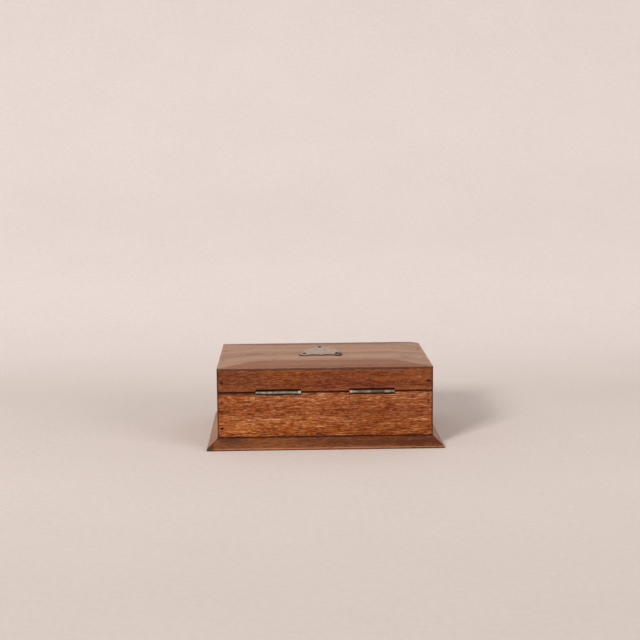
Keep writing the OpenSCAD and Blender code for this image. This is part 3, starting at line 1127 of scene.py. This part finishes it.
@dataclass
class Plinth:
    """The four mitred, bevelled lengths under the walls."""

    overhang: float = 11.8 * MM
    lip: float = 2.2 * MM
    reach: float = 16.0 * MM
    shelf: float = 6.0 * MM
    floor_t: float = 5.0 * MM
    arris: float = 0.45 * MM
    mitre_arris: float = 0.12 * MM
    # Dirt with painted shade in the joint under the walls, and painted contact shadow at the floor.
    painted_shade: Colour = tone(44, 18, 8)
    tones: WoodTones = WoodTones(tone(164, 108, 70), tone(124, 70, 36), tone(84, 41, 18))
    # A paler, yellower copy of the plinth's tones for the side lengths: painted sheen.
    painted_sheen_side_tones: WoodTones = WoodTones(tone(178, 124, 72), tone(144, 90, 45), tone(106, 60, 26))

    def length(self, node: str, turn: float) -> bpy.types.Object:
        """Shapes one length and mitres its ends.

        Args:
            node: The node that it stands for.
            turn: Turn about Z of a length that lies on the +X side.

        Returns:
            The length of plinth.
        """
        low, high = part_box(node)
        top = high.z
        reaches = [max(abs(low[axis]), abs(high[axis])) for axis in (0, 1)]
        out, end = reversed(reaches) if abs(math.sin(turn)) > 0.5 else reaches
        face = out - self.overhang
        inner, shelf = face - self.reach, face - self.shelf
        ledge = top - self.floor_t
        section = [(inner, 0.0), (out, 0.0), (out, self.lip), (face, top), (shelf, top), (shelf, ledge),
                   (inner, ledge)]
        corners = [Vector((x, -end - MM, z)) for x, z in section]
        piece = Workpiece(node).prism(corners, Vector((0, 2 * end + 2 * MM, 0)))
        piece.ease(self.arris, lambda e: all(v.co.x > out - 0.1 * MM for v in e.verts) and
                   abs(e.verts[0].co.y - e.verts[1].co.y) > MM)
        for side in (-1, 1):
            piece.saw(Vector((out, side * end, 0)), Vector((-1.0, side, 0)).normalized())
        piece.ease(self.mitre_arris, lambda e: max(v.co.x for v in e.verts) > face - 0.5 * MM
                   and all(abs(v.co.x - out + end - abs(v.co.y)) < 0.05 * MM for v in e.verts), segments=1)
        turned = Matrix.Rotation(turn, 3, "Z")
        bmesh.ops.rotate(piece.bm, cent=ORIGIN, matrix=turned, verts=piece.bm.verts[:])
        return piece.finish()

    def build(self) -> None:
        """Builds the four lengths."""
        for node, turn, grain, at in (
            ("plinth_left", 0.0, Grain.ALONG_DEPTH, (0.1, 0.9, 0.2)),
            ("plinth_back", math.pi / 2, Grain.ALONG_LENGTH, (0.6, 0.4, 0.3)),
            ("plinth_right", math.pi, Grain.ALONG_DEPTH, (1.1, 0.2, 0.6)),
            ("plinth_front", -math.pi / 2, Grain.ALONG_LENGTH, (1.6, 0.7, 0.1)),
        ):
            roughness, specular, tones = (0.45, 0.2, self.tones)
            # The side lengths take the paler tones of painted sheen.
            if grain is Grain.ALONG_DEPTH:
                roughness, specular, tones = (0.38, 0.28, self.painted_sheen_side_tones)
            waxed = WoodFinish("waxed_" + node, node, tones, grain, at, ripple=0.55, pores=0.5,
                               roughness=roughness, specular=specular, relief=0.04 * MM, arris_strength=0.0,
                               marks=self.wear(node, grain))
            settle(self.length(node, turn), "box", waxed.make(), node)

    def wear(self, node: str, grain: Grain) -> Marks:
        """Gives the dirt and wear of one length, its painted lip highlight and its painted shade at top and
        floor.

        Args:
            node: Its node.
            grain: Which way it runs.

        Returns:
            Its marks.
        """
        low, high = (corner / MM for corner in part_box(node))
        lip = self.lip / MM
        if grain is Grain.ALONG_LENGTH:
            edge = (0, high.y if high.y > -low.y else low.y, lip)
            half = (ALL, 0.3, 0.15)
        else:
            edge = (high.x if high.x > -low.x else low.x, 0, lip)
            half = (0.3, ALL, 0.15)
        smudge = Mark((106, 84, 13), (4, 1, 1), 13, (0.5, 0.56, 0.82, 1.0), 0.8, 0.7, Lay.GLAZE)
        greyed = Mark((104, 90, 8), (2, 9, 9), 38, (0.74, 0.74, 0.8, 1.0), 0.8, 0.9, Lay.GLAZE)
        reddened = Mark((-108, 93, 4.5), (10, 9, 9), 36, (0.72, 0.66, 0.7, 1.0), 0.7, 0.9, Lay.GLAZE)
        # A paler line along the worn lip: painted highlight.
        lip_highlight = Mark(edge, half, 0.55, tone(172, 118, 82), 0.65, 1.1)
        dark_corner = Mark((131, 95, 1), (4, 3, 3), 6, tone(58, 30, 18), 0.85, 0.3)
        # The seam at the top is dirt with painted shade in the joint; the one at the floor is painted contact
        # shadow.
        return (smudge, greyed, reddened, lip_highlight, dark_corner,
                seam(high.z, 0.25, 1.1, self.painted_shade, 0.9, 0.4), seam(0, 0.3, 1.3, self.painted_shade, 0.75, 0.5))


@dataclass
class Lid(Walls):
    """The lid: four rails and a cushion-shaped top board."""

    body: str = "lid"
    slot: Slot = Slot.LID
    up: int = 1
    arris: float = 0.3 * MM
    nail_rows: tuple[float, ...] = (74.5,)
    nail_stains: tuple[float, float] = (0.93, 0.96)
    long_boards: tuple[tuple[str, int, Point], ...] = (
        ("lid_back_rail", 1, (0.5, 0.3, 1.7)), ("lid_front_rail", -1, (1.5, 0.8, 1.2)))
    side_boards: tuple[tuple[str, Point], ...] = (
        ("lid_left_rail", (0.7, 0.5, 1.4)), ("lid_right_rail", (1.7, 0.1, 1.9)))
    top_node: str = "lid_top_board"
    rise: float = 3.2 * MM
    edge: float = 2.0 * MM
    bevel: float = 32.0 * MM
    end_bevel: float = 39.0 * MM
    top_arris: float = 0.45 * MM
    grid: tuple[int, int] = (120, 84)
    rim_angle: float = 1.0
    smooth_angle: float = 0.7
    worn_corner: float = 5.0 * MM
    worn_reach: float = 16.0 * MM
    worn_drop: float = 1.4 * MM
    top_nail_y: float = 31.08
    top_nail_set: float = 0.3 * MM
    tones: WoodTones = WoodTones(tone(170, 116, 80), tone(127, 70, 36), tone(84, 36, 14))
    top_tones: WoodTones = WoodTones(tone(189, 149, 121), tone(170, 125, 96), tone(142, 99, 74))

    def rise_at(self, x: float, y: float, half: Vector) -> float:
        """How high the top stands over its edge.

        Args:
            x: Place along the length.
            y: Place along the depth.
            half: Half the size of the top.

        Returns:
            The height over the edge, in metres.
        """
        across = (half.x - abs(x)) / self.end_bevel
        along = (half.y - abs(y)) / self.bevel
        softness = 0.05 + 0.2 * min(max(min(across, along), 0.0), 1.0)
        slope = self.soft_least(across, along, softness)
        return self.rise * self.soft_least(slope, 1.0, 0.15)

    @staticmethod
    def soft_least(a: float, b: float, softness: float) -> float:
        """The lesser of two values, with the step from one to the other rounded."""
        h = min(max(0.5 + 0.5 * (b - a) / softness, 0.0), 1.0)
        return b + (a - b) * h - softness * h * (1 - h)

    def top_board(self) -> bpy.types.Object:
        """Shapes the top board: a grid that is crowned, given its edge and closed underneath.

        Returns:
            The top board.
        """
        low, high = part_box(self.top_node)
        half = (high - low) / 2
        piece = Workpiece(self.top_node)
        bm = piece.bm
        place = Matrix.Translation((0, 0, low.z + self.edge)) @ Matrix.Diagonal((half.x, half.y, 1, 1))
        bmesh.ops.create_grid(bm, x_segments=self.grid[0], y_segments=self.grid[1], size=1.0, matrix=place)
        rim = [e for e in bm.edges if e.is_boundary]
        for face in bm.faces:
            face.smooth = True
        for vert in bm.verts:
            vert.co.z += self.rise_at(vert.co.x, vert.co.y, half)
        skirt = bmesh.ops.extrude_edge_only(bm, edges=rim)["geom"]
        for vert in (v for v in skirt if isinstance(v, bmesh.types.BMVert)):
            vert.co.z = low.z
        bmesh.ops.contextual_create(bm, geom=[e for e in bm.edges if e.is_boundary])
        piece.right_way_out()
        rim = [e for e in bm.edges
               if e.calc_face_angle(0.0) > self.rim_angle and min(v.co.z for v in e.verts) > low.z + MM]
        piece.bevel(rim, self.top_arris, 3)
        self.wear_corner(bm, Vector((-half.x, -half.y, 0)))
        for edge in bm.edges:
            edge.smooth = edge.calc_face_angle(0.0) < self.smooth_angle
        return piece.finish()

    def wear_corner(self, bm: bmesh.types.BMesh, corner: Vector) -> None:
        """Wears one corner of the top round in plan and a little lower than the rest.

        Args:
            bm: The mesh of the top board.
            corner: The sharp corner.
        """
        inward = Vector((-math.copysign(1, corner.x), -math.copysign(1, corner.y), 0))
        middle = corner + inward * self.worn_corner
        foot = min(v.co.z for v in bm.verts)
        for vert in bm.verts:
            near = 1 - min((vert.co.xy - corner.xy).length / self.worn_reach, 1.0)
            if vert.co.z > foot + self.edge / 2:
                vert.co.z -= self.worn_drop * near ** 2
            out = Vector(((vert.co.x - middle.x) * -inward.x, (vert.co.y - middle.y) * -inward.y))
            if out.x > 0 and out.y > 0:
                drawn = out * (max(out.x, out.y) / out.length)
                vert.co.x = middle.x - drawn.x * inward.x
                vert.co.y = middle.y - drawn.y * inward.y

    def finish_for(self, node: str, grain: Grain, at: Point, marks: Marks = ()) -> bpy.types.Material:
        """Makes the waxed finish of one rail.

        Args:
            node: The rail's node.
            grain: Which way its grain runs.
            at: Where in the timber its figure is taken from.
            marks: Its own stains.

        Returns:
            The material.
        """
        low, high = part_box(node)
        golden = Mark((40, 0, 76), (14, ALL, 3), 16, (1.06, 1.02, 0.8, 1.0), 0.8, 0.5, Lay.GLAZE)
        ruddy = Mark((-30, 0, 70), (30, ALL, 2), 14, (0.96, 0.86, 0.95, 1.0), 0.8, 0.5, Lay.GLAZE)
        # The -X end of the rails is glazed darker: painted shade.
        painted_shade_end = Mark((-90, 0, 76), (40, ALL, ALL), 70, (0.94, 0.88, 0.82, 1.0), 0.9, 0.2, Lay.GLAZE)
        # The seam at the foot of the rails is dirt with painted shade in the joint.
        common = (golden, ruddy, painted_shade_end, seam(low.z / MM, 0.5, 0.8, self.painted_shade, 0.95, 0.35),
                  seam(high.z / MM, 0.15, 0.8, tone(70, 30, 14), 0.65, 0.7), bare_inside())
        return WoodFinish("waxed_" + node, node, self.tones, grain, at, ripple=0.72, pores=0.5,
                          coarseness=1.2, roughness=0.45, marks=common + marks).make()

    def top_marks(self) -> Marks:
        """Gives the top's streaks, smudges, painted shadows round the shield plate and the specks over its
        nails.

        Returns:
            The marks.
        """
        glue_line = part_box(self.top_node)[0].z / MM
        knot = Mark((80, 8, 0), (7, 0.6, ALL), 5, tone(96, 48, 34), 0.5)
        smudge = Mark((-96, 34, 0), (5, 4, ALL), 9, tone(112, 72, 54), 0.4, 0.9)
        pale_patch = Mark((26, 46, 0), (12, 3, ALL), 10, tone(176, 132, 96), 0.35, 0.7)
        # Painted shadow under the +X ear of the shield.
        ear_shadow = Mark((24, 25, 0), (4, 0.8, ALL), 3, tone(84, 52, 40), 0.7, 0.4)
        # Painted shadow under the plate's near edge.
        plate_edge_shadow = Mark((3, 23.5, 0), (15, 2.2, ALL), 2.2, tone(92, 48, 32), 0.75, 0.4)
        # Painted shadow under the lifted -X ear.
        lifted_ear_shadow = Mark((-18, 25, 0), (3, 4, ALL), 2.2, tone(64, 34, 18), 0.85, 0.8)
        nail_x = Nailing().x
        specks = tuple(Mark((x, y, 91), (0.8, 0.8, 4), 2, tone(62, 34, 24), 0.8, 0.6)
                       for x in (-nail_x, nail_x) for y in (-self.top_nail_y, self.top_nail_y))
        return (knot, smudge, pale_patch, ear_shadow, plate_edge_shadow, lifted_ear_shadow,
                seam(glue_line + 0.8, 0.6, 0.7, tone(66, 28, 12), 0.85, 0.6), bare_inside(0.9)) + specks

    def build(self) -> None:
        """Builds the rails and the top board, with a shallow recess over each of its nails."""
        self.build_walls()
        top = self.top_board()
        low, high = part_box(self.top_node)
        nailing = Nailing()
        cutter = Workpiece("top_cutter")
        for x in (-nailing.x * MM, nailing.x * MM):
            for y in (-self.top_nail_y * MM, self.top_nail_y * MM):
                floor = low.z + self.edge + self.rise_at(x, y, (high - low) / 2) - self.top_nail_set
                cutter.rod(Vector((x, y, floor + MM)), nailing.hole_radius * MM, 2 * MM, Matrix.Identity(4))
        carve(top, cutter)
        # The top's long slopes get painted shade.
        waxed = WoodFinish("waxed_top", self.top_node, self.top_tones, Grain.ALONG_LENGTH, (0.9, 1.1, 0.0),
                           ripple=0.75, pores=0.3, bands=1.2, roughness=0.48, specular=0.3,
                           relief=0.03 * MM, arris_strength=0.0, marks=self.top_marks(),
                           slope_painted_shade=(0.7, 0.58, 0.55, 1.0))
        settle(top, self.body, waxed.make(), self.top_node)


@dataclass
class Shield:
    """The bare shield plate and its three domed pins, in millimetres.

    Its curves are shares of half its width and of its length, for the +X half, from the middle of the near
    edge round to the point.
    """

    node: str = "shield_plate"
    width: float = 50.0
    length: float = 66.0
    middle_x: float = 3.0
    ears_y: float = 27.0
    arris: float = 0.2
    curl_reach: float = 8.0
    curl_depth: float = 30.0
    curl_rise: float = 1.6
    steps: int = 8
    pin_places: tuple[tuple[float, float], ...] = ((0, 0.83), (-0.76, 0.17), (0.76, 0.17))
    curves: tuple[tuple[tuple[float, float], ...], ...] = (
        ((0.00, 0.01), (0.06, 0.09), (0.28, 0.09)), ((0.28, 0.09), (0.54, 0.09), (0.68, 0.02)),
        ((0.68, 0.02), (0.86, -0.03), (1.00, 0.17)), ((1.00, 0.17), (0.82, 0.22), (0.80, 0.38)),
        ((0.80, 0.38), (0.80, 0.66), (0.44, 0.79)), ((0.44, 0.79), (0.14, 0.85), (0.00, 1.00)),
    )

    def on_lid(self, x: float, y: float, z: float) -> Point:
        """Brings a point from shares of the shield to its place on the lid, at a height in millimetres."""
        return self.middle_x + x * self.width / 2, self.ears_y - y * self.length, z

    def outline(self) -> list[tuple[float, float]]:
        """Draws the shield's edge from its curves, right half and then left half.

        Returns:
            The points of the edge, as shares.
        """
        half = []
        for start, pull, end in self.curves:
            for step in range(self.steps):
                t = step / self.steps
                half.append(tuple((1 - t) ** 2 * a + 2 * t * (1 - t) * b + t * t * c
                                  for a, b, c in zip(start, pull, end)))
        return half + [(0.0, 1.0)] + [(-x, y) for x, y in reversed(half[1:])]

    def plate(self) -> bpy.types.Object:
        """Shapes the plate, eases its upper arris and lifts one ear.

        Returns:
            The plate.
        """
        low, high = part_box(self.node)
        points = [spot(*self.on_lid(x, y, low.z / MM)) for x, y in self.outline()]
        piece = Workpiece(self.node).prism(points, Vector((0, 0, high.z - low.z)))
        piece.ease(self.arris * MM, lambda e: all(v.co.z > high.z - 0.1 * MM for v in e.verts), segments=2)
        start = self.middle_x - self.width / 2 + self.curl_reach
        for fold in (start, start - self.curl_reach / 2):
            piece.cut(spot(fold, 0, 0), Vector((1, 0, 0)))
        for vert in piece.bm.verts:
            x, y, _ = vert.co / MM
            out = max(start - x, 0.0) / self.curl_reach
            near = min(max((y - self.ears_y + self.curl_depth) / self.curl_depth, 0.0), 1.0)
            vert.co.z += self.curl_rise * MM * out ** 2 * near
        return piece.finish()

    def build(self) -> None:
        """Builds the plate and dresses the pins and nails."""
        low, high = (corner.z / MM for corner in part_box(self.node))
        thick = high - low
        under = Mark((self.middle_x, 0, low), (ALL, ALL, 0.85 * thick), 0.1, tone(64, 28, 16), 0.95, 0.2)
        # Darker over the curled -X ear: painted shade of the curl.
        curl_shade = Mark((-17, 19, high), (2.8, 5, 3), 2, tone(70, 46, 28), 0.85, 0.9)
        rings = tuple(Mark(self.on_lid(x, y, high), (1.7, 1.7, 2), 1.2, tone(88, 62, 40), 0.75, 0.6)
                      for x, y in self.pin_places)
        silvery = MetalFinish("silvery_sheet", tone(208, 186, 172), tone(182, 155, 140), 0.35, 0.5,
                              marks=(under, curl_shade) + rings)
        settle(self.plate(), "lid", silvery.make(), self.node)
        iron = MetalFinish("dark_iron", tone(66, 42, 16), tone(42, 26, 9), 0.5, 0.65, 0.0, 0.05).make()
        for node in ("shield_pins", "plinth_nails", "lid_nails", "top_board_nails"):
            dress(node, iron)
        nail_x = Nailing().x
        filled = tone(100, 48, 24)
        faint = (Mark((-nail_x, 0, 0), (3, ALL, ALL), 0.5, filled, 0.8, 0.3),
                 Mark((nail_x, 0, max(Carcase().nail_rows)), (3, ALL, 3), 0.5, filled, 0.75, 0.3))
        rusty = MetalFinish("rusty_iron", tone(66, 34, 16), tone(40, 20, 9), 0.5, 0.75, 0.0, 0.05,
                            marks=faint)
        dress("carcase_nails", rusty.make())


# Studio


@dataclass
class Studio:
    """The pale sweep, the lights and the camera."""

    floor: Colour = tone(220, 206, 198)
    wall: Colour = tone(233, 220, 214)
    sweep_start: float = -0.45
    sweep_radius: float = 1.6
    sweep_turn: float = -80.0
    sweep_steps: int = 32
    reach: float = 4.0
    aim: Point = (0.0, 0.0, 0.04)
    key_place: Point = (2.52, 3.70, 2.30)
    key_power: float = 180.0
    key_size: float = 1.1
    fill_place: Point = (-3.4, 2.6, 1.3)
    fill_power: float = 75.0
    fill_size: float = 2.4
    sky: float = 0.53
    sky_colour: Colour = (1.0, 0.985, 0.97, 1.0)
    camera_place: Point = (0.04134, 1.49888, 0.35126)
    turn: float = 178.5354
    tilt: float = 8.3437
    roll: float = -0.4648
    lens: float = 73.125
    sensor: float = 36.0
    clip: tuple[float, float] = (0.01, 50.0)

    def sweep(self) -> None:
        """Builds the floor, the curve behind it and the wall as one smooth sheet."""
        sheet = Workpiece("sweep")
        bm = sheet.bm
        line = [bm.verts.new((-self.reach, y, 0)) for y in (self.reach, self.sweep_start)]
        bm.edges.new(line)
        bmesh.ops.spin(bm, geom=[line[1]], cent=(0, self.sweep_start, self.sweep_radius), axis=(1, 0, 0),
                       angle=math.radians(self.sweep_turn), steps=self.sweep_steps, use_merge=False,
                       use_duplicate=False)
        pulled = bmesh.ops.extrude_edge_only(bm, edges=bm.edges[:])["geom"]
        sheet.draw_out(pulled, Vector((2 * self.reach, 0, 0)))
        for face in bm.faces:
            face.smooth = True
        made = sheet.finish()
        made.data.materials.append(PaperFinish("pale_sweep", self.floor, self.wall).make())

    def lamp(self, name: str, place: Point, power: float, size: float) -> None:
        """Hangs a square soft light that faces the box.

        Args:
            name: Its name.
            place: Where it hangs.
            power: Its power in watts.
            size: The length of its side.
        """
        data = bpy.data.lights.new(name, "AREA")
        data.energy = power
        data.size = size
        made = place_in_scene(name, data)
        made.location = place
        made.rotation_euler = (Vector(self.aim) - Vector(place)).to_track_quat("-Z", "Y").to_euler()

    def air(self) -> None:
        """Lights the room evenly from all sides, with the wall's own colour behind everything in view."""
        world = bpy.data.worlds.new("studio_air")
        world.use_nodes = True
        bpy.context.scene.world = world
        world.node_tree.nodes.clear()
        bench = Bench(world.node_tree)
        seen = bench.add("ShaderNodeLightPath").outputs["Is Camera Ray"]
        around = bench.add("ShaderNodeBackground", {"Color": self.sky_colour, "Strength": self.sky})
        behind = bench.add("ShaderNodeBackground", {"Color": self.wall, "Strength": 1.0})
        either = bench.add("ShaderNodeMixShader", {0: seen, 1: around.outputs[0], 2: behind.outputs[0]})
        bench.add("ShaderNodeOutputWorld", {0: either.outputs[0]})

    def camera(self) -> None:
        """Sets the camera behind the box, a little above it."""
        data = bpy.data.cameras.new("camera")
        data.lens = self.lens
        data.sensor_width = self.sensor
        data.clip_start, data.clip_end = self.clip
        made = place_in_scene("camera", data)
        made.matrix_world = (Matrix.Translation(self.camera_place)
                             @ Matrix.Rotation(math.radians(self.turn), 4, "Z")
                             @ Matrix.Rotation(math.radians(90 - self.tilt), 4, "X")
                             @ Matrix.Rotation(math.radians(self.roll), 4, "Z"))
        bpy.context.scene.camera = made

    def build(self) -> None:
        """Builds the whole studio."""
        bpy.context.scene.view_settings.view_transform = "Standard"
        self.sweep()
        self.lamp("key", self.key_place, self.key_power, self.key_size)
        self.lamp("fill", self.fill_place, self.fill_power, self.fill_size)
        self.air()
        self.camera()


def main() -> None:
    """Builds every part of the scene in order."""
    logging.basicConfig(level=logging.INFO, format="%(name)s: %(message)s", stream=sys.stdout)
    for part in (Studio(), Plinth(), Carcase(), Lid(), Hinges(), Shield()):
        log.info("building %s", type(part).__name__)
        part.build()


if __name__ == "__main__":
    main()
